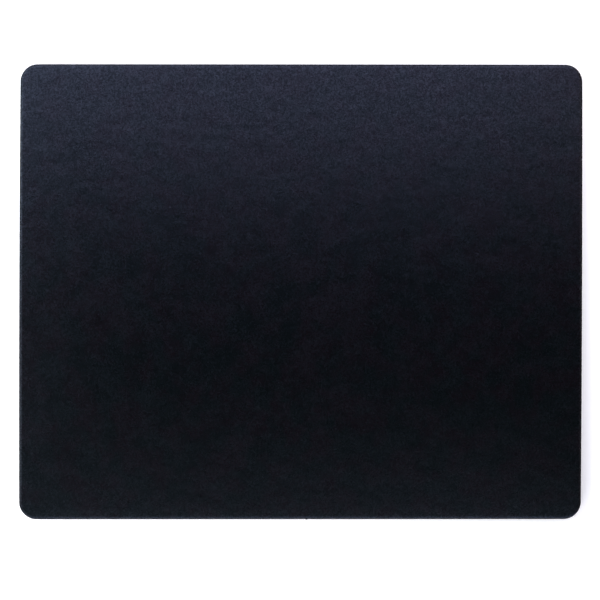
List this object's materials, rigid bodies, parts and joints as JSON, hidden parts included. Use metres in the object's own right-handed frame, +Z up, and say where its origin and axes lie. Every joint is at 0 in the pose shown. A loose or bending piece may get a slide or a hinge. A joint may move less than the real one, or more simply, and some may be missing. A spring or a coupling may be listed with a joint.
{
  "type": "desk mat",
  "caption": "Flat rectangular desk mat with rounded corners: a stiff board and thin foam pad wrapped in black leatherette, with a felt underside to lie on a desk and write on.",
  "frame": {"origin": "middle of the felt's underside, on the desk's surface", "axes": "+X to the right along the long side, +Y away from the person sitting at the desk, +Z up through the writing surface"},
  "size_m": [0.4318, 0.3492, 0.0064],
  "materials": {
    "leatherette": "satin",
    "adhesive_film": "gloss",
    "hem_tape": "matte",
    "foam": "matte",
    "hardboard": "matte",
    "card": "matte",
    "felt": "matte"
  },
  "bodies": {
    "root": {"leatherette_cover": "leatherette", "cover_film": "adhesive_film", "foam_pad": "foam", "foam_film": "adhesive_film", "core_board": "hardboard", "hem_tape_front": "hem_tape", "hem_tape_back": "hem_tape", "hem_tape_left": "hem_tape", "hem_tape_right": "hem_tape", "card_film": "adhesive_film", "filler_card": "card", "felt_film": "adhesive_film", "felt_backing": "felt"}
  },
  "joints": []
}
